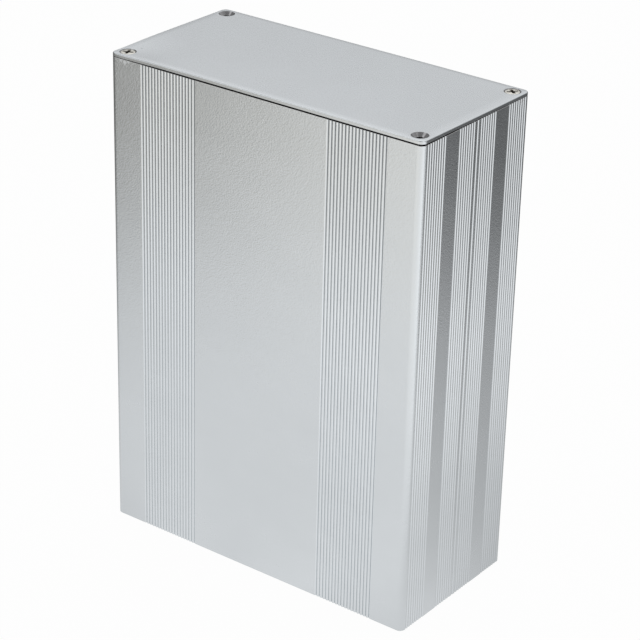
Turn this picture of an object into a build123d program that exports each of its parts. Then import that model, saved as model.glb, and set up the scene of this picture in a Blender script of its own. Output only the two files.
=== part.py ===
"""Extruded aluminium enclosure: two interlocking half shells, an end plate and its two fitted screws.

Millimetres. +Z runs along the extrusion, the front face looks towards -Y, and the origin is at the
centre of the open lower end.
"""
import os
from math import sqrt

from build123d import *

# Profile
width = 145.0  # over the side faces, along X
depth = 69.0  # over the front and back faces, along Y
body_length = 200.0  # cut length of both halves, along Z
corner_radius = 2.5  # upright outer corners
wall = 2.0  # from the outer faces to the cavity

# Reeds: fine half-round ribs, flush with the flats, with a sharp valley between each two
reed_pitch = 1.5
reed_depth = 0.6  # from the flats down to a valley
crown_trim = 0.015  # how far the round of a reed would stand above the flats
face_valley_count = 18  # in each of the two bands on the front and back faces
face_valley_inset = 15.8  # side face to the nearest valley of a band
corner_valley_count = 8  # in the side-face band beside a corner
corner_valley_inset = 3.2  # front or back face to the nearest valley of that band
seam_valley_count = 7  # in the side-face band beside the seam
seam_valley_offset = 2.35  # seam to the nearest valley of that band

# Seam between the halves: a tongue on one side of each half, a groove on the other
tongue_thickness = 1.4
tongue_length = 2.4  # past the seam
tongue_root = 4.0  # height of the thickened wall that carries the tongue
tongue_bevel = 0.4
seam_clearance = 0.1  # around the tongue
inner_lip = 1.4  # wall of the groove on the cavity side
groove_floor = 1.4  # material below the groove

# Card slots in the side walls
slot_width = 1.8
slot_depth = 2.6
slot_rib = 1.2  # thickness of each rib beside a slot
slot_offsets = (10.0, 20.0)  # seam to the middle of each slot

# Screw ports: open round channels in the corners
screw_inset = 4.8  # outer faces to the axis of a screw
port_bore = 2.9  # diameter, a tapping size
port_wall = 1.5
port_mouth = 1.3  # width of the opening along each port

# End plate
plate_thickness = 1.5
plate_gap = 0.5  # the plate stands this far off the cut end
plate_edge_radius = 0.5
hole_diameter = 3.8
sink_diameter = 6.6
sink_angle = 90.0

# Countersunk screws
head_diameter = 6.2
head_rim = 0.15  # short cylinder at the top of the head
head_clearance = 0.03  # between head and countersink, along Z
core_diameter = 2.7
screw_length = 9.5  # over all
tip_length = 1.2
tip_diameter = 1.4
recess_span = 3.6
recess_wing = 1.0
recess_depth = 1.3
recess_taper = 11.0

# Places that follow from the sizes above
half_width = width / 2
half_depth = depth / 2
inner_x = half_width - wall
port_x = half_width - screw_inset
port_y = half_depth - screw_inset
plate_bottom = body_length + plate_gap
plate_top = plate_bottom + plate_thickness


def valley_section():
    """Space between two reeds: its sides are the flanks of both, its point is the valley."""
    rise = reed_depth + crown_trim
    half_pitch = reed_pitch / 2
    reed_radius = (rise**2 + half_pitch**2) / (2 * rise)
    crown_flat = sqrt(reed_radius**2 - (reed_radius - crown_trim) ** 2)
    meet = half_pitch - crown_flat
    top_x = half_pitch - crown_flat / 2
    top_y = crown_trim - reed_radius + sqrt(reed_radius**2 - (half_pitch - top_x) ** 2)
    clear = reed_depth
    with BuildSketch() as valley:
        with BuildLine():
            ThreePointArc((0, -reed_depth), (meet, 0), (top_x, top_y))
            Polyline((top_x, top_y), (top_x, clear), (-top_x, clear), (-top_x, top_y))
            ThreePointArc((-top_x, top_y), (-meet, 0), (0, -reed_depth))
        make_face()
    return valley.sketch


def reed_bands():
    """Centre, turn and number of valleys of each band on one half."""
    face_reach = (face_valley_count - 1) * reed_pitch / 2
    corner_reach = (corner_valley_count - 1) * reed_pitch / 2
    seam_reach = (seam_valley_count - 1) * reed_pitch / 2
    face_x = half_width - face_valley_inset - face_reach
    corner_y = -half_depth + corner_valley_inset + corner_reach
    seam_y = -seam_valley_offset - seam_reach
    bands = []
    for side, turn in ((-1, 90), (1, -90)):
        bands.append((side * face_x, -half_depth, 180, face_valley_count))
        bands.append((side * half_width, corner_y, turn, corner_valley_count))
        bands.append((side * half_width, seam_y, turn, seam_valley_count))
        bands.append((side * half_width, 0, turn, 1))
    return bands


def shell_section():
    """Section of one half of the body, on the -Y side of the seam: tongue at +X, groove at -X."""
    groove_width = tongue_thickness + 2 * seam_clearance
    groove_depth = tongue_length + seam_clearance
    groove_height = groove_depth + groove_floor
    groove_outer = -inner_x
    tongue_outer = inner_x - seam_clearance
    tongue_inner = tongue_outer - tongue_thickness
    mouth_reach = 2 * (port_bore / 2 + port_wall)
    valley = valley_section()
    with BuildSketch() as section:
        RectangleRounded(width, depth, corner_radius)
        with Locations((0, wall)):
            Rectangle(2 * inner_x, depth, mode=Mode.SUBTRACT)
        Rectangle(width, half_depth, align=(Align.CENTER, Align.MIN), mode=Mode.SUBTRACT)

        # Carriers of the seam, of the card slots and of the screw ports
        with Locations((tongue_inner, 0)):
            Rectangle(inner_x - tongue_inner, tongue_root, align=(Align.MIN, Align.MAX))
        with Locations((groove_outer, 0)):
            Rectangle(groove_width + inner_lip, groove_height, align=(Align.MIN, Align.MAX))
        for offset in slot_offsets:
            with Locations((-inner_x, -offset)):
                Rectangle(slot_depth, slot_width + 2 * slot_rib, align=(Align.MIN, Align.CENTER))
            with Locations((inner_x, -offset)):
                Rectangle(slot_depth, slot_width + 2 * slot_rib, align=(Align.MAX, Align.CENTER))
        for side, toward_wall in ((-1, Align.MAX), (1, Align.MIN)):
            with Locations((side * port_x, -port_y)):
                Circle(port_bore / 2 + port_wall)
                Rectangle(screw_inset - wall, screw_inset - wall, align=(toward_wall, Align.MAX))
        with Locations((tongue_outer, 0)):
            Rectangle(tongue_thickness, tongue_length, align=(Align.MAX, Align.MIN))
        chamfer(section.vertices().sort_by(Axis.Y)[-2:], tongue_bevel)

        # Groove, card slots, port bores with their mouths, and the reeds
        with Locations((groove_outer, 0)):
            Rectangle(groove_width, groove_depth, align=(Align.MIN, Align.MAX), mode=Mode.SUBTRACT)
        for offset in slot_offsets:
            with Locations((-inner_x, -offset)):
                Rectangle(slot_depth, slot_width, align=(Align.MIN, Align.CENTER), mode=Mode.SUBTRACT)
            with Locations((inner_x, -offset)):
                Rectangle(slot_depth, slot_width, align=(Align.MAX, Align.CENTER), mode=Mode.SUBTRACT)
        for side in (-1, 1):
            with Locations(Location((side * port_x, -port_y, 0), (0, 0, side * 45))):
                Circle(port_bore / 2, mode=Mode.SUBTRACT)
                Rectangle(port_mouth, mouth_reach, align=(Align.CENTER, Align.MIN), mode=Mode.SUBTRACT)
        for x, y, turn, count in reed_bands():
            with Locations(Location((x, y, 0), (0, 0, turn))):
                with GridLocations(reed_pitch, 0, count, 1):
                    add(valley, mode=Mode.SUBTRACT)
    return section.sketch


def cross_recess():
    """Driver recess of a screw whose head top is at Z = 0: two crossed wings, tapering inwards."""
    with BuildPart() as recess:
        with BuildSketch():
            Rectangle(recess_span, recess_wing)
            Rectangle(recess_wing, recess_span)
        extrude(amount=-recess_depth, taper=recess_taper)
    return recess.part


def countersunk_screw():
    """One self-tapping screw with the top of its head at Z = 0 and its tip downwards."""
    head_radius = head_diameter / 2
    core_radius = core_diameter / 2
    head_height = head_rim + head_radius - core_radius
    with BuildPart() as screw:
        with BuildSketch(Plane.XZ):
            with BuildLine():
                Polyline(
                    (0, 0),
                    (head_radius, 0),
                    (head_radius, -head_rim),
                    (core_radius, -head_height),
                    (core_radius, tip_length - screw_length),
                    (tip_diameter / 2, -screw_length),
                    (0, -screw_length),
                    close=True,
                )
            make_face()
        revolve(axis=Axis.Z)
        add(cross_recess(), mode=Mode.SUBTRACT)
    return screw.part


# Halves of the body: the same extrusion, the rear one given half a turn about Z
half_section = shell_section()

with BuildPart() as front_shell:
    with BuildSketch(Plane.XY):
        add(half_section)
    extrude(amount=body_length)

with BuildPart() as rear_shell:
    with BuildSketch(Plane.XY.rotated((0, 0, 180))):
        add(half_section)
    extrude(amount=body_length)

# End plate with four countersunk holes over the screw ports
with BuildPart() as end_plate:
    with BuildSketch(Plane.XY.offset(plate_bottom)):
        RectangleRounded(width, depth, corner_radius)
    extrude(amount=plate_thickness)
    fillet(end_plate.edges().group_by(Axis.Z)[-1], plate_edge_radius)
    with Locations(Plane.XY.offset(plate_top)):
        with GridLocations(2 * port_x, 2 * port_y, 2, 2):
            CounterSinkHole(hole_diameter / 2, sink_diameter / 2, counter_sink_angle=sink_angle)

# The two screws that are fitted, at the front left and the back right
head_sink = (sink_diameter - head_diameter) / 2 - head_rim - head_clearance
head_top = plate_top - head_sink
fitted_screw = countersunk_screw()

with BuildPart() as plate_screws:
    with Locations((-port_x, -port_y, head_top), (port_x, port_y, head_top)):
        add(fitted_screw)

pieces = {
    "front_shell": front_shell,
    "rear_shell": rear_shell,
    "end_plate": end_plate,
    "plate_screws": plate_screws,
}
os.makedirs("parts", exist_ok=True)
for name, piece in pieces.items():
    piece.part.label = name
    export_step(piece.part, f"parts/{name}.step")
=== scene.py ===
import math

import bmesh
import bpy
import numpy as np
from mathutils import Matrix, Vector
from mathutils.geometry import delaunay_2d_cdt


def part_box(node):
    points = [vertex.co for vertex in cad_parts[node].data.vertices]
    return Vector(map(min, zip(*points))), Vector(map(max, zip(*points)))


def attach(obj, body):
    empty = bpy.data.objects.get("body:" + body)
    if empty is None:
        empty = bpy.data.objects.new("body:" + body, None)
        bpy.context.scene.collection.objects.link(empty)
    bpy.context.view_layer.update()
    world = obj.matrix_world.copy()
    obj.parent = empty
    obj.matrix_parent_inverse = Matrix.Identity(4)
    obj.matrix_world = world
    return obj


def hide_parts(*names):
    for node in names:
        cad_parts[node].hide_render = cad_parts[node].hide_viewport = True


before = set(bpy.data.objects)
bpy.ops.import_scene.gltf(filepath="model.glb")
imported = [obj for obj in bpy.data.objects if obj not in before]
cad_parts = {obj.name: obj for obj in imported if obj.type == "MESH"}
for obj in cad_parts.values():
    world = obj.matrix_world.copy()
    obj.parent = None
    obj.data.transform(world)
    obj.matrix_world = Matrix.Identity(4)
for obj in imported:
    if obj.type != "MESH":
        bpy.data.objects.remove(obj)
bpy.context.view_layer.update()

MM = 0.001

# Body and plate, from the frame
SHELL_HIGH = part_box("front_shell")[1]
PLATE_LOW, PLATE_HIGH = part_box("end_plate")
SCREWS_LOW, SCREWS_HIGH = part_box("plate_screws")
HALF_WIDTH = SHELL_HIGH[0]
HALF_DEPTH = PLATE_HIGH[1]
BODY_LENGTH = SHELL_HIGH[2]
PLATE_TOP = PLATE_HIGH[2]
PLATE_THICKNESS = PLATE_HIGH[2] - PLATE_LOW[2]

# Profile of the extrusion
CORNER_RADIUS = 2.5 * MM
WALL = 2.0 * MM
REED_PITCH = 1.5 * MM
REED_DEPTH = 0.6 * MM
CROWN_TRIM = 0.015 * MM  # how far the round of a reed would stand above the flats
FACE_VALLEYS = 18
FACE_VALLEY_INSET = 15.8 * MM
CORNER_VALLEYS = 8
CORNER_VALLEY_INSET = 3.2 * MM
SEAM_VALLEYS = 7
SEAM_VALLEY_OFFSET = 2.35 * MM
TONGUE_THICKNESS = 1.4 * MM
TONGUE_LENGTH = 2.4 * MM
TONGUE_ROOT = 4.0 * MM
TONGUE_BEVEL = 0.4 * MM
SEAM_CLEARANCE = 0.1 * MM
INNER_LIP = 1.4 * MM
GROOVE_FLOOR = 1.4 * MM
SLOT_WIDTH = 1.8 * MM
SLOT_DEPTH = 2.6 * MM
SLOT_RIB = 1.2 * MM
SLOT_OFFSETS = (10.0 * MM, 20.0 * MM)
SCREW_INSET = 4.8 * MM
PORT_BORE = 2.9 * MM
PORT_WALL = 1.5 * MM
PORT_MOUTH = 1.3 * MM
PORT_FACING = 135  # degrees: the right port's mouth looks to the middle of the body
CUT_BREAK = 0.1 * MM  # broken edge of the two cut ends
SUPPORT = 0.08 * MM  # from the start of a curve to the next line on the flat beside it
MITRE_SPREAD = 0.6  # least spread of a mitre, so that sharp corners don't run out
FLANK_STEPS = 8
CORNER_STEPS = 12
BORE_STEPS = 24
PORT_STEPS = 10

# End plate
PLATE_EDGE_RADIUS = 0.5 * MM
PLATE_EDGE_STEPS = 6
PLATE_LOWER_BREAK = 0.2 * MM
HOLE_RADIUS = 1.9 * MM
HOLE_POINTS = 48
SINK_RADIUS = 3.3 * MM
PLATE_STEP = 3.5 * MM  # distance between points on the plate's faces
LIFT_SEATED = 0.04 * MM  # gap below the plate at its two screws
LIFT_FRONT = 0.46 * MM  # how far the free front edge stands up beyond that
LIFT_BACK = 0.12 * MM
LIFT_REACH = 13.0 * MM  # distance from the front screw over which the plate comes up
LIFT_REACH_BACK = 3 * LIFT_REACH  # the same at the back screw

# Screws
SCREW_POINTS = 96  # round the axis
THREAD_ROWS = 70
HEAD_RADIUS = 3.1 * MM
HEAD_RIM = 0.15 * MM
HEAD_ROUND = (  # rounded rim of the head, in millimetres: inwards from its radius, and down
    (0.6, 0.0),
    (0.4, 0.04),
    (0.27, 0.12),
    (0.2, 0.24),
    (0.26, 0.36),
)
CORE_RADIUS = 1.3 * MM
THREAD_HEIGHT = 0.4 * MM
THREAD_PITCH = 1.3 * MM
THREAD_RUN_IN = 1.0 * MM  # from the neck to the full height of the thread
CREST_REACH = 0.22  # of the pitch, from the middle of a crest to its foot
TIP_LENGTH = 1.2 * MM
TIP_RADIUS = 0.55 * MM
RECESS_SPAN = 3.6 * MM
RECESS_WING = 1.0 * MM
RECESS_DEPTH = 1.3 * MM
RECESS_POWER = 6  # of the ellipses that make the cross: the higher, the squarer its wings
FLOOR_DRAW = (-0.25 * MM, -0.22 * MM)  # the floor's span and wings to the mouth's, each side
FLOOR_LEVELS = (0.9, 0.97)  # of the recess's depth, at the floor's edge and half-way in
RECESS_POINT = 0.02 * MM  # radius of the innermost ring
MOUTH_SPREAD = 0.42 * MM  # softened mouth of the recess, past the ends of its wings
MOUTH_SIDE = 0.1 * MM  # the same past the sides of its wings
MOUTH_FOOT = 0.25 * MM  # depth at which the softening begins
MOUTH_DEPTH = 0.05 * MM  # depth at which it turns to the top of the head
MOUTH_LAND = 0.06 * MM  # from there out to the top
SCREW_TURNS = (0.35, 0.9)  # of the two crosses, front left and back right, in radians

SHARP_ANGLE = 32.0  # degrees between two faces from which their edge is sharp
MERGE_DISTANCE = 1e-7
KEEP_INSIDE = 1  # the net keeps the triangles within its outer line
NET_SLACK = 1e-9

PORT_X = HALF_WIDTH - SCREW_INSET
PORT_Y = HALF_DEPTH - SCREW_INSET
INNER_X = HALF_WIDTH - WALL
INNER_Y = HALF_DEPTH - WALL

# Camera, fitted to the photograph's 640 by 640 frame
FRAME_PIXELS = 640
FOCAL_PIXELS = 2351.1
SENSOR = 36.0
CAMERA_PLACE = (0.49742, -0.66679, 0.50094)
CAMERA_AZIMUTH = math.radians(36.482)
CAMERA_DOWN = math.radians(25.834)
CAMERA_ROLL = math.radians(1.474)

# Studio: tones of the paper floor and of the room, as the metal mirrors them
SIDES = (-180, -130, -90, -50, -22, 30, 85, 135)  # degrees round from the front, to the right
PAPER_REACHES = (0.14, 0.3, 0.5)  # from the enclosure's middle to where each row of tones holds
PAPER_NEAR_TONES = (0.6, 0.65, 0.6, 0.85, 0.83, 0.88, 0.75, 0.5)
PAPER_MIDDLE_TONES = (0.3, 0.4, 0.3, 0.75, 0.9, 1.05, 1.1, 0.42)
PAPER_FAR_TONES = (0.13, 0.2, 0.13, 0.25, 0.97, 0.92, 1.15, 0.12)
FAR_WARMTH = (0, 0, 1, 1, 1, 0.5, 0, 0)
NO_WARMTH = (0,) * len(SIDES)
WARM_TINT = (1.03, 1.0, 0.94)
ROOM_TONES = (0.8, 0.96, 0.3, 0.4, 0.35, 0.35, 0.25, 0.55)
HORIZON = (0.1, 0.45)  # rise of a direction over which the far paper goes over to the room
FLOOR_WHITE = 0.975  # share of the floor's own white in what the camera sees
FLOOR_BELOW = 0.05 * MM  # the floor lies this far below the cut end, so they never coincide
FLOOR_REACH = 3.0
FLOOR_TONE = (0.8, 0.8, 0.8)
WHITE = (1.0, 1.0, 1.0)
FOOTPRINT = 0.975  # of the body's width and depth: within it the floor gives no light
SOFTBOX_DISTANCE = 1.5
SOFTBOXES = (  # azimuth and elevation in degrees, side in metres and power in watts
    ("right_softbox", 75, 45, 0.9, 2.0),
    ("left_softbox", -40, 45, 0.9, 2.0),
    ("top_softbox", 200, 70, 1.2, 2.0),
)
STUDIO_MIDDLE = (0.0, 0.0, 0.1)  # the point that the softboxes look at


def make_camera():
    """Camera at the photograph's viewpoint, looking down at the front and right faces."""
    data = bpy.data.cameras.new("camera")
    data.sensor_width = SENSOR
    data.lens = SENSOR * FOCAL_PIXELS / FRAME_PIXELS
    data.clip_start = 0.01
    data.clip_end = 50.0
    camera = bpy.data.objects.new("camera", data)
    turn = (
        Matrix.Rotation(CAMERA_AZIMUTH, 4, "Z")
        @ Matrix.Rotation(math.pi / 2 - CAMERA_DOWN, 4, "X")
        @ Matrix.Rotation(CAMERA_ROLL, 4, "Z")
    )
    camera.matrix_world = Matrix.Translation(CAMERA_PLACE) @ turn
    bpy.context.scene.collection.objects.link(camera)
    bpy.context.scene.camera = camera


make_camera()
bpy.context.scene.view_settings.view_transform = "Standard"


# Lines in the plane of the extrusion's section


def arc(centre, radius, start, end, steps):
    """Points on a circle, from one angle to another in degrees, in even steps."""
    turn = np.radians(np.linspace(start, end, steps + 1))
    return np.column_stack((centre[0] + radius * np.cos(turn), centre[1] + radius * np.sin(turn)))


def mirrored(line):
    """The same line on the other side of the X = 0 plane, walked the other way."""
    return line[::-1] * (-1.0, 1.0)


def reed_flank():
    """Distance from a valley and depth below the flats, along one flank from the valley up.

    A reed's section is a circle through both of its valleys, cut off level with the flats.
    """
    rise = REED_DEPTH + CROWN_TRIM
    half_pitch = REED_PITCH / 2
    radius = (rise**2 + half_pitch**2) / (2 * rise)
    lean = np.linspace(
        math.asin(half_pitch / radius), math.acos((radius - CROWN_TRIM) / radius), FLANK_STEPS + 1
    )
    return half_pitch - radius * np.sin(lean), radius - CROWN_TRIM - radius * np.cos(lean)


def reed_band(first_valley, count):
    """Places along a face and depths below it over one band: every valley with its two flanks."""
    away, deep = reed_flank()
    notch = np.concatenate((-away[::-1], away[1:]))
    notch_deep = np.concatenate((deep[::-1], deep[1:]))
    valleys = first_valley + REED_PITCH * np.arange(count)
    along = (valleys[:, None] + notch).ravel()
    along = np.concatenate(([along[0] - SUPPORT], along, [along[-1] + SUPPORT]))
    return along, np.concatenate(([0.0], np.tile(notch_deep, count), [0.0]))


def outer_right():
    """Outer line from the middle of the front face round the right corner to the seam."""
    face_first = HALF_WIDTH - FACE_VALLEY_INSET - (FACE_VALLEYS - 1) * REED_PITCH
    along, deep = reed_band(face_first, FACE_VALLEYS)
    front = np.column_stack((along, deep - HALF_DEPTH))
    turn_x = HALF_WIDTH - CORNER_RADIUS
    turn_y = CORNER_RADIUS - HALF_DEPTH
    corner = arc((turn_x, turn_y), CORNER_RADIUS, -90, 0, CORNER_STEPS)
    before = np.array(((turn_x - SUPPORT, -HALF_DEPTH),))
    along, deep = reed_band(CORNER_VALLEY_INSET - HALF_DEPTH, CORNER_VALLEYS)
    corner_band = np.column_stack((HALF_WIDTH - deep[1:], along[1:]))
    along, deep = reed_band(-SEAM_VALLEY_OFFSET - (SEAM_VALLEYS - 1) * REED_PITCH, SEAM_VALLEYS)
    seam_band = np.column_stack((HALF_WIDTH - deep, along))
    away, deep = reed_flank()
    seam_flank = np.column_stack((HALF_WIDTH - deep[::-1], -away[::-1]))
    return np.concatenate((front, before, corner, corner_band, seam_band, seam_flank))


def card_slots():
    """Inner line of the right wall over both card slots and their ribs, from the seam down."""
    reach = SLOT_WIDTH / 2 + SLOT_RIB
    x = INNER_X - SLOT_DEPTH * np.array((0, 1, 1, 0, 0, 1, 1, 0))
    y = np.array((reach, reach, SLOT_WIDTH / 2, SLOT_WIDTH / 2))
    y = np.concatenate((y, -y[::-1]))
    return np.concatenate([np.column_stack((x, y - offset)) for offset in SLOT_OFFSETS])


def screw_port():
    """Inner line round the right corner's screw port: its outer round, broken by the open bore."""
    centre = (PORT_X, -PORT_Y)
    bore = PORT_BORE / 2
    outside = bore + PORT_WALL
    wall_turn = math.degrees(math.acos((SCREW_INSET - WALL) / outside))
    lip_turn = math.degrees(math.asin(PORT_MOUTH / 2 / outside))
    mouth_turn = math.degrees(math.asin(PORT_MOUTH / 2 / bore))
    round_again = PORT_FACING - 360
    return np.concatenate((
        arc(centre, outside, wall_turn, PORT_FACING - lip_turn, PORT_STEPS),
        arc(centre, bore, PORT_FACING - mouth_turn, mouth_turn + round_again, BORE_STEPS),
        arc(centre, outside, PORT_FACING + lip_turn, 270 - wall_turn, PORT_STEPS),
    ))


def shell_line():
    """Closed outline of the front half: outside, right tongue, inside, left groove."""
    outside = outer_right()
    tongue_outer = INNER_X - SEAM_CLEARANCE
    tongue_inner = tongue_outer - TONGUE_THICKNESS
    tongue = np.array((
        (tongue_outer, 0.0),
        (tongue_outer, TONGUE_LENGTH - TONGUE_BEVEL),
        (tongue_outer - TONGUE_BEVEL, TONGUE_LENGTH),
        (tongue_inner + TONGUE_BEVEL, TONGUE_LENGTH),
        (tongue_inner, TONGUE_LENGTH - TONGUE_BEVEL),
        (tongue_inner, -TONGUE_ROOT),
        (INNER_X, -TONGUE_ROOT),
    ))
    groove_x = TONGUE_THICKNESS + 2 * SEAM_CLEARANCE - INNER_X
    groove_y = -TONGUE_LENGTH - SEAM_CLEARANCE
    groove = np.array((
        (-INNER_X, groove_y - GROOVE_FLOOR),
        (groove_x + INNER_LIP, groove_y - GROOVE_FLOOR),
        (groove_x + INNER_LIP, 0.0),
        (groove_x, 0.0),
        (groove_x, groove_y),
        (-INNER_X, groove_y),
        (-INNER_X, 0.0),
    ))
    inside = np.concatenate((card_slots(), screw_port()))
    return np.concatenate((mirrored(outside), outside, tongue, inside, mirrored(inside), groove))


def drawn_in(line, amount):
    """Closed line moved towards its inside by that much, mitred at its corners.

    Each point moves by amount * (a + b) / (1 + a . b), where a and b are the inward normals of
    the runs before and after it.
    """
    run = np.roll(line, -1, axis=0) - line
    run /= np.linalg.norm(run, axis=1)[:, None]
    inward = np.column_stack((-run[:, 1], run[:, 0]))
    before = np.roll(inward, 1, axis=0)
    spread = np.maximum(1 + (before * inward).sum(axis=1), MITRE_SPREAD)
    return line + amount * (before + inward) / spread[:, None]


# Meshes


def grid_faces(rows, columns):
    """Quads between neighbouring rows of points, each row closed on itself."""
    row, column = np.meshgrid(np.arange(rows - 1), np.arange(columns), indexing="ij")
    after = (column + 1) % columns
    low = row * columns
    quads = (low + column, low + after, low + columns + after, low + columns + column)
    return np.stack(quads, -1).reshape(-1, 4)


def make_piece(name, points, faces):
    """New piece of the object, smooth up to a set angle: doubles merged, faces outwards."""
    mesh = bpy.data.meshes.new(name)
    mesh.from_pydata(points.tolist(), [], faces)
    work = bmesh.new()
    work.from_mesh(mesh)
    bmesh.ops.remove_doubles(work, verts=work.verts, dist=MERGE_DISTANCE)
    bmesh.ops.recalc_face_normals(work, faces=work.faces)
    work.to_mesh(mesh)
    work.free()
    mesh.shade_smooth()
    mesh.set_sharp_from_angle(angle=math.radians(SHARP_ANGLE))
    piece = bpy.data.objects.new(name, mesh)
    bpy.context.scene.collection.objects.link(piece)
    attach(piece, "root")
    return piece


def make_shell(name, line):
    """Outline carried up along Z; at both cuts it draws in a little, which breaks the edge."""
    inner = drawn_in(line, CUT_BREAK)
    count = len(line)
    heights = (0.0, CUT_BREAK, BODY_LENGTH - CUT_BREAK, BODY_LENGTH)
    rows = [
        np.column_stack((shape, np.full(count, height)))
        for shape, height in zip((inner, line, line, inner), heights)
    ]
    points = np.concatenate(rows)
    faces = grid_faces(len(rows), count).tolist()
    faces.append(list(range(count - 1, -1, -1)))
    faces.append(list(range(3 * count, 4 * count)))
    piece = make_piece(name, points, faces)
    return piece


def plate_lift(x, y):
    """Gap below the plate, least at its two screws and most along the front.

    It is the seated gap + rise * lift. The lift goes evenly from back to front. The rise is the
    product of 1 - exp(-(distance / reach)^2) for the two screws, each with its own reach.
    """
    from_front_left = np.hypot(x + PORT_X, y + PORT_Y)
    from_back_right = np.hypot(x - PORT_X, y - PORT_Y)
    rise = (1 - np.exp(-((from_front_left / LIFT_REACH) ** 2))) * (
        1 - np.exp(-((from_back_right / LIFT_REACH_BACK) ** 2))
    )
    toward_front = (HALF_DEPTH - y) / (2 * HALF_DEPTH)
    return LIFT_SEATED + rise * (LIFT_BACK + (LIFT_FRONT - LIFT_BACK) * toward_front)


def plate_loop(inset):
    """Rounded rectangle of the plate, drawn in by that much: corner arcs, even steps between."""
    reach = np.array((HALF_WIDTH - CORNER_RADIUS, HALF_DEPTH - CORNER_RADIUS))
    turns = ((1, -1, -90), (1, 1, 0), (-1, 1, 90), (-1, -1, 180))
    arcs = [
        arc(reach * (x, y), CORNER_RADIUS - inset, start, start + 90, CORNER_STEPS)
        for x, y, start in turns
    ]
    runs = []
    for here, after in zip(arcs, arcs[1:] + arcs[:1]):
        steps = int(round(np.linalg.norm(after[0] - here[-1]) / PLATE_STEP))
        share = np.linspace(0, 1, steps + 1)[1:-1, None]
        runs.append(np.concatenate((here, here[-1] * (1 - share) + after[0] * share)))
    return np.concatenate(runs)


def hole_centres():
    """Axes of the plate's four holes and of the screw ports below them."""
    return np.array([(x * PORT_X, y * PORT_Y) for x in (-1, 1) for y in (-1, 1)])


def from_holes(places):
    """Distance across Z from each place to the nearest of the four axes."""
    return np.linalg.norm(places[:, None, :2] - hole_centres(), axis=2).min(axis=1)


def hole_ring(centre, radius):
    """Closed ring of points round one of the four axes."""
    return arc(centre, radius, 0, 360, HOLE_POINTS)[:-1]


def plate_face(loop, hole_radius, height):
    """Flat face inside a loop, with the four round holes, over an even net of points."""
    rings = [hole_ring(centre, hole_radius) for centre in hole_centres()]
    across = np.arange(-HALF_WIDTH + PLATE_STEP, HALF_WIDTH - PLATE_STEP / 2, PLATE_STEP)
    back = np.arange(-HALF_DEPTH + PLATE_STEP, HALF_DEPTH - PLATE_STEP / 2, PLATE_STEP)
    net = np.stack(np.meshgrid(across, back), -1).reshape(-1, 2)
    net = net[from_holes(net) > SINK_RADIUS + MM]
    lines = [loop] + rings
    starts = np.cumsum([0] + [len(line) for line in lines])
    edges = []
    for start, line in zip(starts, lines):
        here = np.arange(len(line))
        edges += np.column_stack((start + here, start + (here + 1) % len(line))).tolist()
    flat = np.concatenate(lines + [net])
    made = delaunay_2d_cdt([tuple(p) for p in flat.tolist()], edges, [], KEEP_INSIDE, NET_SLACK)
    points = np.array([tuple(p) for p in made[0]])
    triangles = np.array(made[2])
    triangles = triangles[from_holes(points[triangles].mean(axis=1)) > hole_radius]
    return np.column_stack((points, np.full(len(points), height))), triangles


def make_plate():
    """End plate: its edge carried round the outline, two faces, four countersinks, then bent.

    The edge's section is a small break, an upright and a quarter circle of the edge radius.
    """
    turn = np.linspace(0, math.pi / 2, PLATE_EDGE_STEPS + 1)
    radius = PLATE_EDGE_RADIUS
    upright = PLATE_THICKNESS - radius
    inset = np.concatenate(((PLATE_LOWER_BREAK, 0.0, 0.0), radius * (1 - np.cos(turn))))
    level = np.concatenate(
        ((0.0, PLATE_LOWER_BREAK, upright - SUPPORT), upright + radius * np.sin(turn))
    )
    loops = [plate_loop(i) for i in inset]
    count = len(loops[0])
    parts = [np.column_stack((loop, np.full(count, z))) for loop, z in zip(loops, level)]
    points = [np.concatenate(parts)]
    faces = grid_faces(len(parts), count).tolist()
    start = len(points[0])
    for loop, hole, z in ((loops[0], HOLE_RADIUS, 0.0), (loops[-1], SINK_RADIUS, PLATE_THICKNESS)):
        face_points, triangles = plate_face(loop, hole, z)
        points.append(face_points)
        faces += (triangles + start).tolist()
        start += len(face_points)
    land = PLATE_THICKNESS - (SINK_RADIUS - HOLE_RADIUS)
    sink = ((HOLE_RADIUS, 0.0), (HOLE_RADIUS, land), (SINK_RADIUS, PLATE_THICKNESS))
    for centre in hole_centres():
        rings = [
            np.column_stack((hole_ring(centre, radius), np.full(HOLE_POINTS, z)))
            for radius, z in sink
        ]
        points.append(np.concatenate(rings))
        faces += (grid_faces(len(sink), HOLE_POINTS) + start).tolist()
        start += len(sink) * HOLE_POINTS
    points = np.concatenate(points)
    points[:, 2] += BODY_LENGTH + plate_lift(points[:, 0], points[:, 1])
    piece = make_piece("bent_end_plate", points, faces)
    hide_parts("end_plate")
    return piece


def cross_reach(turn, longer, wider):
    """Distance from the screw's axis to the edge of a cross, at each angle.

    The cross is larger or smaller than the recess by the two amounts given. Each of its bars is
    the flattened ellipse |x / half span|^n + |y / half wing|^n = 1, and the further one counts.
    """
    half_span = RECESS_SPAN / 2 + longer
    half_wing = RECESS_WING / 2 + wider
    folded = np.stack((turn, turn + math.pi / 2))
    along = (np.abs(np.cos(folded)) / half_span) ** RECESS_POWER
    across = (np.abs(np.sin(folded)) / half_wing) ** RECESS_POWER
    return ((along + across) ** (-1 / RECESS_POWER)).max(axis=0)


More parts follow.
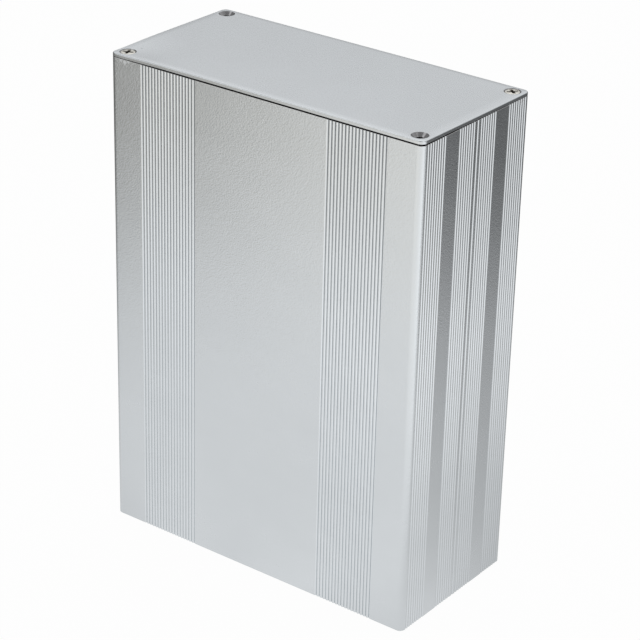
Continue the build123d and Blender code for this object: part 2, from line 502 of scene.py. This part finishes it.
def screw_surface(turn_offset):
    """One screw as rings of points round its axis, from the recess floor over the head to the tip.

    The shank's radius is the core + thread height * share * crest. The share comes in below the
    neck and goes out over the tip. The crest is 1 on a helix and falls evenly to 0 beside it.
    """
    turn = np.linspace(0, 2 * math.pi, SCREW_POINTS + 1)[:-1]
    ring = np.ones_like(turn)
    edge = cross_reach(turn, 0.0, 0.0)
    mouth = cross_reach(turn, MOUTH_SPREAD, MOUTH_SIDE)
    floor = cross_reach(turn, *FLOOR_DRAW)
    floor_edge, floor_middle = FLOOR_LEVELS
    head = [
        (RECESS_POINT, -RECESS_DEPTH),
        (0.5 * floor, -floor_middle * RECESS_DEPTH),
        (floor, -floor_edge * RECESS_DEPTH),
        (edge, -MOUTH_FOOT),
        (mouth, -MOUTH_DEPTH),
        (mouth + MOUTH_LAND, 0.0),
        (0.5 * (edge + HEAD_RADIUS), 0.0),
    ]
    head += [(HEAD_RADIUS - inwards * MM, -down * MM) for inwards, down in HEAD_ROUND]
    neck = HEAD_RIM + HEAD_RADIUS - CORE_RADIUS
    length = SCREWS_HIGH[2] - SCREWS_LOW[2]
    down = np.linspace(neck, length, THREAD_ROWS)[:, None]
    comes_in = np.clip((down - neck) / THREAD_RUN_IN, 0, 1)
    goes_out = np.clip((length - down) / TIP_LENGTH, 0, 1)
    phase = (down / THREAD_PITCH + turn / (2 * math.pi)) % 1.0
    crest = np.clip(1 - np.abs(phase - 0.5) / CREST_REACH, 0, 1)
    core = np.where(
        down < length - TIP_LENGTH,
        CORE_RADIUS,
        CORE_RADIUS + (TIP_RADIUS - CORE_RADIUS) * (down - length + TIP_LENGTH) / TIP_LENGTH,
    )
    shank = core + THREAD_HEIGHT * (comes_in * goes_out) * crest
    radius = np.concatenate((np.stack([out * ring for out, _ in head]), shank))
    height = np.concatenate((np.stack([up * ring for _, up in head]), -down * ring))
    turned = turn + turn_offset
    return np.stack((radius * np.cos(turned), radius * np.sin(turned), height), -1)


def make_screws():
    """Both fitted screws: their rings of points, closed at the recess floor and at the tip."""
    points = []
    faces = []
    start = 0
    for x, y, turned in zip((-PORT_X, PORT_X), (-PORT_Y, PORT_Y), SCREW_TURNS):
        surface = screw_surface(turned)
        rows, count = surface.shape[:2]
        head_top = BODY_LENGTH + plate_lift(x, y) + PLATE_THICKNESS - (PLATE_TOP - SCREWS_HIGH[2])
        points.append(surface.reshape(-1, 3) + (x, y, head_top))
        faces += (grid_faces(rows, count) + start).tolist()
        faces.append(list(range(start, start + count)))
        faces.append(list(range(start + (rows - 1) * count, start + rows * count)))
        start += rows * count
    piece = make_piece("nickel_screws", np.concatenate(points), faces)
    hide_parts("plate_screws")
    return piece


front_line = shell_line()
front = make_shell("front_extrusion", front_line)
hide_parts("front_shell")
rear = make_shell("rear_extrusion", -front_line)
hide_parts("rear_shell")
plate = make_plate()
screws = make_screws()


# Materials: scales count grains, lines or clouds a metre

GRAIN_SQUASH = (1.0, 1.0, 1.8)  # the pits lie closer along Z
COARSE_GRAINS = 0.45  # scale of the coarse pits, of that of the fine ones
COARSE_HEIGHT = 0.35
CLOUDS = 45.0
LINE_STRETCH = (1.0, 1.0, 0.004)  # a line runs far along Z before it changes
SPOT_GRAINS = 1500.0
SPOT_BREAK = 0.5  # how much its noise breaks up a spot, of its reach
SPOT_FADE = (1.0, 0.3)  # of a spot's reach, where it ends and where it is full
DIE_LINES = 2500.0
CUT_GRAINS = 4000.0
CLOUD_GLOSS = 0.06  # how much the clouds change the roughness
DIE_GLOSS = 0.04  # the same for the lines of the die
CUT_GLOSS = 0.16  # the same for the lines of a cut
ACROSS_Z = (0.0, math.pi / 2, 0.0)  # turns of the lines of a cut
SCREW_LINES = (0.0, math.pi / 2, 0.4)
SINK_LINES = (math.pi / 2, 0.0, 0.0)
DRAWN_LINES = (0.0, 0.0, 0.0)

# Painted shade in the valleys between the reeds, darkest at the upper end
VALLEY_SHADE_TONE = (0.19, 0.196, 0.202)
VALLEY_SHADE_FACE = (0.12, 0.92)  # of the depth of a valley, where the painted shade begins and where it is full
VALLEY_SHADE_SIDE = (0.2, 0.5)  # the same on the side faces
VALLEY_SHADE_LOW = 0.35  # of the body's length, up to which the painted valley shade is lightest
VALLEY_SHADE_LEAST = 0.24  # share of the painted shade that is left there
# Painted shade on the sawn end round the screw ports, seen through the plate's holes
PORT_SHADE_TONE = (0.04, 0.04, 0.04)
PORT_SHADE_REACH = (3.7 * MM, 3.1 * MM)  # from a port's axis, where the painted shade ends and where it is full
SCUFF_ROUGHNESS = 0.35  # added where the skin is rubbed
SKIN_SCUFFS = (  # place, reach and tone
    ((-67.2 * MM, -HALF_DEPTH, 199.4 * MM), 0.9 * MM, (0.84, 0.87, 0.9)),
    ((-65.2 * MM, -HALF_DEPTH, 199.1 * MM), 1.2 * MM, (0.88, 0.91, 0.94)),
    ((-63.3 * MM, -HALF_DEPTH, 199.6 * MM), 0.9 * MM, (0.84, 0.87, 0.9)),
    ((HALF_WIDTH, 29.2 * MM, 199.0 * MM), 2.2 * MM, (0.82, 0.84, 0.86)),
)
PLATE_MARKS = (
    ((42.9 * MM, -4.6 * MM, PLATE_TOP), 0.7 * MM, (0.62, 0.65, 0.68)),
    ((42.9 * MM, 5.7 * MM, PLATE_TOP), 0.7 * MM, (0.64, 0.67, 0.7)),
    ((52.8 * MM, 15.1 * MM, PLATE_TOP), 0.7 * MM, (0.62, 0.65, 0.68)),
    ((34.7 * MM, -10.1 * MM, PLATE_TOP), 0.7 * MM, (0.64, 0.67, 0.7)),
    ((-66.0 * MM, -23.6 * MM, PLATE_TOP), 0.8 * MM, (0.52, 0.54, 0.56)),
)


def new_material(name):
    """An empty node material, its tree and the surface socket of its output."""
    material = bpy.data.materials.new(name)
    material.use_nodes = True
    tree = material.node_tree
    tree.nodes.clear()
    output = tree.nodes.new("ShaderNodeOutputMaterial")
    return material, tree, output.inputs["Surface"]


def new_metal(name):
    """A material that is metal all over: itself, its tree and its Principled shader."""
    material, tree, surface = new_material(name)
    shader = tree.nodes.new("ShaderNodeBsdfPrincipled")
    shader.inputs["Metallic"].default_value = 1.0
    tree.links.new(shader.outputs["BSDF"], surface)
    return material, tree, shader


def new_group(name, inputs, outputs):
    """An empty shader node group with float or vector inputs and float outputs."""
    group = bpy.data.node_groups.new(name, "ShaderNodeTree")
    for label, kind in inputs:
        group.interface.new_socket(label, in_out="INPUT", socket_type=kind)
    for label in outputs:
        group.interface.new_socket(label, in_out="OUTPUT", socket_type="NodeSocketFloat")
    given = group.nodes.new("NodeGroupInput")
    return group, given.outputs, group.nodes.new("NodeGroupOutput").inputs


def feed(tree, socket, value):
    """Give an input a plain number, a fixed colour or another node's output."""
    if isinstance(value, (int, float)):
        socket.default_value = value
    elif isinstance(value, tuple):
        socket.default_value = (*value, 1.0)
    else:
        tree.links.new(value, socket)


def math_node(tree, operation, *values):
    """Math node whose inputs are sockets or plain numbers; gives its output socket."""
    made = tree.nodes.new("ShaderNodeMath")
    made.operation = operation
    for socket, value in zip(made.inputs, values):
        feed(tree, socket, value)
    return made.outputs[0]


def noise_node(tree, vector, scale, detail, roughness=0.5):
    """Noise over the given coordinates; scale is a number or a socket."""
    made = tree.nodes.new("ShaderNodeTexNoise")
    tree.links.new(vector, made.inputs["Vector"])
    feed(tree, made.inputs["Scale"], scale)
    made.inputs["Detail"].default_value = detail
    made.inputs["Roughness"].default_value = roughness
    return made.outputs["Fac"]


def mapped(tree, vector, scale=(1.0, 1.0, 1.0), turn=(0.0, 0.0, 0.0)):
    """The given coordinates, scaled and turned."""
    made = tree.nodes.new("ShaderNodeMapping")
    made.inputs["Scale"].default_value = scale
    made.inputs["Rotation"].default_value = turn
    tree.links.new(vector, made.inputs["Vector"])
    return made.outputs[0]


def axes(tree, vector):
    """X, Y and Z of a vector, as three sockets."""
    split = tree.nodes.new("ShaderNodeSeparateXYZ")
    tree.links.new(vector, split.inputs[0])
    return split.outputs[0], split.outputs[1], split.outputs[2]


def blend(tree, factor, first, second):
    """Linear mix of two colours, each a socket or a fixed colour."""
    mix = tree.nodes.new("ShaderNodeMix")
    mix.data_type = "RGBA"
    tree.links.new(factor, mix.inputs[0])
    feed(tree, mix.inputs[6], first)
    feed(tree, mix.inputs[7], second)
    return mix.outputs[2]


def reach_share(tree, value, low, high):
    """0 up to the low value, 1 from the high value on."""
    reach = tree.nodes.new("ShaderNodeMapRange")
    reach.inputs["From Min"].default_value = low
    reach.inputs["From Max"].default_value = high
    tree.links.new(value, reach.inputs["Value"])
    return reach.outputs["Result"]


def bump_node(tree, height, distance, below=None):
    """Bump of that height in metres, over the normal of another bump if one is given."""
    made = tree.nodes.new("ShaderNodeBump")
    made.inputs["Distance"].default_value = distance
    tree.links.new(height, made.inputs["Height"])
    if below is not None:
        tree.links.new(below, made.inputs["Normal"])
    return made.outputs[0]


def make_grain_group():
    """Blasted grain: pits for the height, specks for the gloss, slow clouds for both."""
    inputs = (("Vector", "NodeSocketVector"), ("Grains", "NodeSocketFloat"))
    group, given, result = new_group("blasted_grain", inputs, ("Height", "Speck", "Cloud"))
    closer = mapped(group, given["Vector"], scale=GRAIN_SQUASH)
    fine = noise_node(group, closer, given["Grains"], detail=1.0, roughness=0.35)
    coarse_scale = math_node(group, "MULTIPLY", given["Grains"], COARSE_GRAINS)
    coarse = noise_node(group, closer, coarse_scale, detail=0.0)
    height = math_node(group, "MULTIPLY_ADD", coarse, COARSE_HEIGHT, fine)
    speck = noise_node(group, given["Vector"], given["Grains"], detail=1.0, roughness=0.6)
    cloud = noise_node(group, closer, CLOUDS, detail=3.0, roughness=0.55)
    for label, value in (("Height", height), ("Speck", speck), ("Cloud", cloud)):
        group.links.new(value, result[label])
    return group


def make_line_group():
    """Fine parallel lines along the given coordinates' Z, as a die or a saw leaves them."""
    inputs = (("Vector", "NodeSocketVector"), ("Lines", "NodeSocketFloat"))
    group, given, result = new_group("tool_lines", inputs, ("Height",))
    stretched = mapped(group, given["Vector"], scale=LINE_STRETCH)
    lines = noise_node(group, stretched, given["Lines"], detail=3.0, roughness=0.65)
    group.links.new(lines, result["Height"])
    return group


def make_spot_group():
    """Soft round mark: 1 at a place, falling to 0 at its reach, broken up by noise."""
    inputs = (
        ("Vector", "NodeSocketVector"),
        ("Place", "NodeSocketVector"),
        ("Reach", "NodeSocketFloat"),
    )
    group, given, result = new_group("worn_spot", inputs, ("Mask",))
    away = group.nodes.new("ShaderNodeVectorMath")
    away.operation = "DISTANCE"
    group.links.new(given["Vector"], away.inputs[0])
    group.links.new(given["Place"], away.inputs[1])
    share = math_node(group, "DIVIDE", away.outputs["Value"], given["Reach"])
    broken = noise_node(group, given["Vector"], SPOT_GRAINS, detail=2.0)
    ragged = math_node(group, "MULTIPLY_ADD", broken, SPOT_BREAK, -SPOT_BREAK / 2)
    share = math_node(group, "ADD", share, ragged)
    fade = group.nodes.new("ShaderNodeMapRange")
    fade.interpolation_type = "SMOOTHSTEP"
    fade.inputs["From Min"].default_value = SPOT_FADE[0]
    fade.inputs["From Max"].default_value = SPOT_FADE[1]
    group.links.new(share, fade.inputs["Value"])
    group.links.new(fade.outputs["Result"], result["Mask"])
    return group


grain_group = make_grain_group()
line_group = make_line_group()
spot_group = make_spot_group()


def placed_group(tree, group, vector, **values):
    """A node group in a material, with its coordinates and its own values; gives its outputs."""
    made = tree.nodes.new("ShaderNodeGroup")
    made.node_tree = group
    tree.links.new(vector, made.inputs["Vector"])
    for label, value in values.items():
        made.inputs[label].default_value = value
    return made.outputs


def object_place(tree):
    """Object coordinates, in metres."""
    return tree.nodes.new("ShaderNodeTexCoord").outputs["Object"]


def painted_valley_shade(tree, place):
    """How much painted shade a point between two reeds gets: 0 on their rounds, 1 at the foot of a
    valley.

    Its depth is half depth - |y| below the wide faces and half width - |x| below the side faces.
    It lies deep below one pair of them anyway, so the smaller share counts. Down from the upper
    end the painted shade fades to a quarter.
    """
    x, y, z = axes(tree, place)
    below_face = math_node(tree, "SUBTRACT", HALF_DEPTH, math_node(tree, "ABSOLUTE", y))
    below_side = math_node(tree, "SUBTRACT", HALF_WIDTH, math_node(tree, "ABSOLUTE", x))
    on_face = reach_share(tree, below_face, *(part * REED_DEPTH for part in VALLEY_SHADE_FACE))
    on_side = reach_share(tree, below_side, *(part * REED_DEPTH for part in VALLEY_SHADE_SIDE))
    share = math_node(tree, "MINIMUM", on_face, on_side)
    upper = reach_share(tree, z, VALLEY_SHADE_LOW * BODY_LENGTH, BODY_LENGTH)
    fade = math_node(tree, "MULTIPLY_ADD", upper, 1 - VALLEY_SHADE_LEAST, VALLEY_SHADE_LEAST)
    return math_node(tree, "MULTIPLY", share, fade)


def painted_port_shade(tree, place):
    """Painted shade: 1 over a screw port's ring, 0 from a little outside it.

    The distance from the port's axis is sqrt((|x| - port x)^2 + (|y| - port y)^2).
    """
    squares = []
    for part, port in zip(axes(tree, place), (PORT_X, PORT_Y)):
        apart = math_node(tree, "SUBTRACT", math_node(tree, "ABSOLUTE", part), port)
        squares.append(math_node(tree, "POWER", math_node(tree, "ABSOLUTE", apart), 2.0))
    away = math_node(tree, "SQRT", math_node(tree, "ADD", *squares))
    return reach_share(tree, away, *PORT_SHADE_REACH)


def blasted_metal(
    name, dark, light, gloss, speckle, grains, grain_height, line_height, spots=(), reeded=False
):
    """Blasted and anodised aluminium, between a dark and a light tone.

    Grain, specks and clouds change its tone and gloss, with die lines and worn spots over them.
    On the reeds the valleys get painted shade, darker towards the upper end.
    """
    material, tree, shader = new_metal(name)
    place = object_place(tree)
    grain = placed_group(tree, grain_group, place, Grains=grains)
    lines = placed_group(tree, line_group, place, Lines=DIE_LINES)
    tone = blend(tree, grain["Cloud"], dark, light)
    rough = math_node(tree, "MULTIPLY_ADD", grain["Cloud"], CLOUD_GLOSS, gloss - CLOUD_GLOSS / 2)
    rough = math_node(tree, "MULTIPLY_ADD", lines["Height"], DIE_GLOSS, rough)
    specks = math_node(tree, "SUBTRACT", grain["Speck"], 0.5)
    rough = math_node(tree, "MULTIPLY_ADD", specks, speckle, rough)
    for spot_place, reach, spot_tone in spots:
        spot = placed_group(tree, spot_group, place, Place=spot_place, Reach=reach)
        tone = blend(tree, spot["Mask"], tone, spot_tone)
        rough = math_node(tree, "MULTIPLY_ADD", spot["Mask"], SCUFF_ROUGHNESS, rough)
    # painted shade in the valleys between the reeds
    if reeded:
        tone = blend(tree, painted_valley_shade(tree, place), tone, VALLEY_SHADE_TONE)
    tree.links.new(tone, shader.inputs["Base Color"])
    tree.links.new(rough, shader.inputs["Roughness"])
    drawn = bump_node(tree, lines["Height"], line_height)
    pitted = bump_node(tree, grain["Height"], grain_height, drawn)
    tree.links.new(pitted, shader.inputs["Normal"])
    return material


def cut_metal(name, dark, light, gloss, turn, lines_per_metre, line_height, port_shaded=False):
    """Bare machined or plated metal, with fine tool lines that run in one direction.

    With port shade on, it gets a painted shade round the screw ports, which lie in the dark below
    the plate's holes.
    """
    material, tree, shader = new_metal(name)
    place = object_place(tree)
    turned = mapped(tree, place, turn=turn)
    lines = placed_group(tree, line_group, turned, Lines=lines_per_metre)
    grain = placed_group(tree, grain_group, turned, Grains=CUT_GRAINS)
    tone = blend(tree, lines["Height"], dark, light)
    # painted shade round the screw ports
    if port_shaded:
        tone = blend(tree, painted_port_shade(tree, place), tone, PORT_SHADE_TONE)
    rough = math_node(tree, "MULTIPLY_ADD", lines["Height"], CUT_GLOSS, gloss - CUT_GLOSS / 2)
    rough = math_node(tree, "MULTIPLY_ADD", grain["Cloud"], CLOUD_GLOSS, rough)
    tree.links.new(tone, shader.inputs["Base Color"])
    tree.links.new(rough, shader.inputs["Roughness"])
    marked = bump_node(tree, lines["Height"], line_height)
    tree.links.new(marked, shader.inputs["Normal"])
    return material


extrusion_skin = blasted_metal(
    "blasted_extrusion",
    dark=(0.70, 0.732, 0.756),
    light=(0.75, 0.784, 0.81),
    gloss=0.22,
    speckle=0.11,
    grains=1700.0,
    grain_height=0.07 * MM,
    line_height=0.002 * MM,
    spots=SKIN_SCUFFS,
)
reeded_skin = blasted_metal(
    "blasted_reeds",
    dark=(0.75, 0.784, 0.81),
    light=(0.82, 0.856, 0.884),
    gloss=0.13,
    speckle=0.3,
    grains=1700.0,
    grain_height=0.012 * MM,
    line_height=0.003 * MM,
    spots=SKIN_SCUFFS,
    reeded=True,
)
plate_skin = blasted_metal(
    "blasted_plate",
    dark=(0.725, 0.757, 0.785),
    light=(0.75, 0.784, 0.812),
    gloss=0.26,
    speckle=0.2,
    grains=3200.0,
    grain_height=0.01 * MM,
    line_height=0.0,
    spots=PLATE_MARKS,
)
plate_edge_skin = blasted_metal(
    "blasted_plate_edge",
    dark=(0.68, 0.712, 0.736),
    light=(0.73, 0.763, 0.788),
    gloss=0.2,
    speckle=0.3,
    grains=1700.0,
    grain_height=0.02 * MM,
    line_height=0.0,
)
sawn_metal = cut_metal(
    "sawn_end",
    dark=(0.5, 0.5, 0.5),
    light=(0.62, 0.62, 0.62),
    gloss=0.3,
    turn=ACROSS_Z,
    lines_per_metre=3500.0,
    line_height=0.01 * MM,
    port_shaded=True,
)
# Painted shade: the plate's underside is near black, so that the gap below the plate stays dark
shaded_underside_metal = cut_metal(
    "plate_underside_painted_shade",
    dark=(0.05, 0.05, 0.05),
    light=(0.11, 0.11, 0.11),
    gloss=0.45,
    turn=ACROSS_Z,
    lines_per_metre=2500.0,
    line_height=0.01 * MM,
)
inside_metal = cut_metal(
    "drawn_inside",
    dark=(0.7, 0.71, 0.72),
    light=(0.78, 0.79, 0.8),
    gloss=0.36,
    turn=DRAWN_LINES,
    lines_per_metre=2500.0,
    line_height=0.02 * MM,
)
# Painted shade: the walls of the countersinks and holes are darker than bare drilled metal, for
# the shade between head and sink
shaded_sink_metal = cut_metal(
    "drilled_sink_painted_shade",
    dark=(0.24, 0.24, 0.25),
    light=(0.5, 0.5, 0.51),
    gloss=0.2,
    turn=SINK_LINES,
    lines_per_metre=4000.0,
    line_height=0.004 * MM,
)
# Painted shade: the driver's recess and its softened mouth are near black
recess_shade_metal = cut_metal(
    "driver_recess_painted_shade",
    dark=(0.1, 0.09, 0.08),
    light=(0.2, 0.19, 0.17),
    gloss=0.35,
    turn=SCREW_LINES,
    lines_per_metre=2500.0,
    line_height=0.006 * MM,
)
nickel = cut_metal(
    "nickel_plating",
    dark=(0.72, 0.705, 0.65),
    light=(0.84, 0.825, 0.76),
    gloss=0.2,
    turn=SCREW_LINES,
    lines_per_metre=2500.0,
    line_height=0.006 * MM,
)


# Which face of a piece has which material

FLAT_SLACK = 1e-6  # a face this far below the flats still counts as one of them
CUT_SLOPE = 0.5  # share of a normal along Z from which a face of the body is a cut end
SINK_SLOPE = 0.9  # the same for the plate's flat faces, beside the walls of its holes
EDGE_SLOPE = 0.96  # the same beside its outer edge
RECESS_REACH = RECESS_SPAN / 2 + 0.45 * MM  # from a screw's axis past its recess
RECESS_LEVELS = (0.04 * MM, RECESS_DEPTH + 0.1 * MM)  # depths between which the recess lies


def face_shape(piece):
    """Normal and middle of every face of a piece."""
    polygons = piece.data.polygons
    normals = np.empty(len(polygons) * 3)
    middles = np.empty(len(polygons) * 3)
    polygons.foreach_get("normal", normals)
    polygons.foreach_get("center", middles)
    return normals.reshape(-1, 3), middles.reshape(-1, 3)


def paint(piece, materials, slot):
    """Give every face the material that its number in slot counts off."""
    piece.data.polygons.foreach_set("material_index", slot.astype(np.int32))
    for material in materials:
        piece.data.materials.append(material)


def paint_shell(piece):
    """Skin outside, reeded or plain, sawn metal on the cut ends, drawn metal inside."""
    normals, middles = face_shape(piece)
    middles = np.abs(middles)
    inside = (middles[:, 0] < INNER_X + SUPPORT) & (middles[:, 1] < INNER_Y + SUPPORT)
    below_face = HALF_DEPTH - middles[:, 1]
    below_side = HALF_WIDTH - middles[:, 0]
    on_corner = (below_face < CORNER_RADIUS) & (below_side < CORNER_RADIUS)
    slot = np.where(inside, 2, 0)
    slot[~inside & ~on_corner & (np.minimum(below_face, below_side) > FLAT_SLACK)] = 3
    slot[np.abs(normals[:, 2]) > CUT_SLOPE] = 1
    paint(piece, (extrusion_skin, sawn_metal, inside_metal, reeded_skin), slot)


def paint_plate(piece):
    """Skin on top, a coarser one on the edge, painted shade in the holes and on the underside."""
    normals, middles = face_shape(piece)
    near_hole = from_holes(middles) < SINK_RADIUS
    slot = np.where(near_hole & (normals[:, 2] < SINK_SLOPE), 1, 0)
    slot[~near_hole & (np.abs(normals[:, 2]) < EDGE_SLOPE)] = 2
    slot[normals[:, 2] < -SINK_SLOPE] = 3
    paint(piece, (plate_skin, shaded_sink_metal, plate_edge_skin, shaded_underside_metal), slot)


def paint_screws(piece):
    """Nickel plating outside, painted shade in the recess for the driver."""
    middles = face_shape(piece)[1]
    below_top = middles[:, 2].max() - middles[:, 2]
    shallow, deep = RECESS_LEVELS
    in_recess = (from_holes(middles) < RECESS_REACH) & (below_top > shallow) & (below_top < deep)
    paint(piece, (nickel, recess_shade_metal), np.where(in_recess, 1, 0))


paint_shell(front)
paint_shell(rear)
paint_plate(plate)
paint_screws(screws)


# Studio


def toned_by_side(tree, across, back, tones, warmth=NO_WARMTH):
    """Tone round the enclosure, blended between the eight sides, with a warm tint on some.

    The angle of the direction (across, back) is 0 towards the front and grows to the right.
    """
    angle = math_node(tree, "ARCTAN2", across, math_node(tree, "MULTIPLY", back, -1.0))
    ramp = tree.nodes.new("ShaderNodeValToRGB")
    stops = ramp.color_ramp.elements
    sides = SIDES + (180,)
    while len(stops) < len(sides):
        stops.new(0.5)
    for i, (stop, side) in enumerate(zip(stops, sides)):
        stop.position = (side + 180) / 360
        warm = warmth[i % len(SIDES)]
        tint = [1 + warm * (part - 1) for part in WARM_TINT]
        stop.color = (*(tones[i % len(SIDES)] * part for part in tint), 1.0)
    tree.links.new(reach_share(tree, angle, -math.pi, math.pi), ramp.inputs["Fac"])
    return ramp.outputs["Color"]


def shader_mix(tree, factor, first, second):
    """Mix of two shaders by a socket."""
    made = tree.nodes.new("ShaderNodeMixShader")
    tree.links.new(factor, made.inputs["Fac"])
    tree.links.new(first, made.inputs[1])
    tree.links.new(second, made.inputs[2])
    return made.outputs[0]


def coloured(tree, kind, colour):
    """A shader of that kind and colour, which is fixed or a socket."""
    made = tree.nodes.new(kind)
    feed(tree, made.inputs["Color"], colour)
    return made


def paper_tone(tree, place):
    """Tone of the mirrored paper: three rows of tones, blended by the distance from the middle."""
    x, y, _ = axes(tree, place)
    away = tree.nodes.new("ShaderNodeVectorMath")
    away.operation = "LENGTH"
    tree.links.new(place, away.inputs[0])
    near, middle, far = PAPER_REACHES
    tone = toned_by_side(tree, x, y, PAPER_NEAR_TONES)
    rings = (
        (near, middle, toned_by_side(tree, x, y, PAPER_MIDDLE_TONES)),
        (middle, far, toned_by_side(tree, x, y, PAPER_FAR_TONES, FAR_WARMTH)),
    )
    for low, high, further in rings:
        tone = blend(tree, reach_share(tree, away.outputs["Value"], low, high), tone, further)
    return tone


def outside_footprint(tree, place):
    """1 on the floor round the enclosure, 0 below it."""
    x, y, _ = axes(tree, place)
    across = math_node(tree, "DIVIDE", math_node(tree, "ABSOLUTE", x), HALF_WIDTH)
    back = math_node(tree, "DIVIDE", math_node(tree, "ABSOLUTE", y), HALF_DEPTH)
    return math_node(tree, "GREATER_THAN", math_node(tree, "MAXIMUM", across, back), FOOTPRINT)


def paper_material():
    """Near white to the camera with the shadow left on it, toned paper in the metal.

    Below the enclosure it gives no light, and seen from below it is clear.
    """
    material, tree, surface = new_material("floor_paper")
    path = tree.nodes.new("ShaderNodeLightPath").outputs
    place = object_place(tree)
    outside = outside_footprint(tree, place)
    paper = coloured(tree, "ShaderNodeBsdfDiffuse", FLOOR_TONE)
    glow = coloured(tree, "ShaderNodeEmission", WHITE)
    share = math_node(tree, "MULTIPLY", path["Is Camera Ray"], outside)
    share = math_node(tree, "MULTIPLY", share, FLOOR_WHITE)
    seen = shader_mix(tree, share, paper.outputs[0], glow.outputs[0])
    mirrored_paper = coloured(tree, "ShaderNodeEmission", paper_tone(tree, place))
    tree.links.new(outside, mirrored_paper.inputs["Strength"])
    whole = shader_mix(tree, path["Is Glossy Ray"], seen, mirrored_paper.outputs[0])
    clear = tree.nodes.new("ShaderNodeBsdfTransparent")
    below = tree.nodes.new("ShaderNodeNewGeometry")
    either = shader_mix(tree, below.outputs["Backfacing"], whole, clear.outputs[0])
    tree.links.new(either, surface)
    return material


def make_floor():
    """Flat sheet just below the cut end."""
    mesh = bpy.data.meshes.new("floor")
    corners = ((-1, -1), (1, -1), (1, 1), (-1, 1))
    points = [(x * FLOOR_REACH, y * FLOOR_REACH, -FLOOR_BELOW) for x, y in corners]
    mesh.from_pydata(points, [], [(0, 1, 2, 3)])
    floor = bpy.data.objects.new("floor", mesh)
    bpy.context.scene.collection.objects.link(floor)
    mesh.materials.append(paper_material())


def make_world():
    """White to the camera; for everything else a room that begins with the floor's far tones."""
    world = bpy.data.worlds.new("studio")
    world.use_nodes = True
    tree = world.node_tree
    tree.nodes.clear()
    output = tree.nodes.new("ShaderNodeOutputWorld")
    x, y, z = axes(tree, tree.nodes.new("ShaderNodeTexCoord").outputs["Generated"])
    low = toned_by_side(tree, x, y, PAPER_FAR_TONES, FAR_WARMTH)
    high = toned_by_side(tree, x, y, ROOM_TONES)
    tone = blend(tree, reach_share(tree, z, *HORIZON), low, high)
    room = coloured(tree, "ShaderNodeBackground", tone)
    backdrop = coloured(tree, "ShaderNodeBackground", WHITE)
    path = tree.nodes.new("ShaderNodeLightPath").outputs
    clear = math_node(tree, "MAXIMUM", path["Is Camera Ray"], path["Is Transmission Ray"])
    whole = shader_mix(tree, clear, room.outputs[0], backdrop.outputs[0])
    tree.links.new(whole, output.inputs["Surface"])
    bpy.context.scene.world = world


def make_softbox(name, azimuth, elevation, side, power):
    """Square area lamp that looks at the middle of the enclosure from that side and height."""
    data = bpy.data.lights.new(name, "AREA")
    data.shape = "SQUARE"
    data.size = side
    data.energy = power
    lamp = bpy.data.objects.new(name, data)
    a = math.radians(azimuth)
    e = math.radians(elevation)
    back = np.array((math.sin(a) * math.cos(e), -math.cos(a) * math.cos(e), math.sin(e)))
    turn = Matrix.Rotation(a, 4, "Z") @ Matrix.Rotation(math.pi / 2 - e, 4, "X")
    lamp.matrix_world = Matrix.Translation(STUDIO_MIDDLE + back * SOFTBOX_DISTANCE) @ turn
    bpy.context.scene.collection.objects.link(lamp)


make_floor()
make_world()
for softbox in SOFTBOXES:
    make_softbox(*softbox)
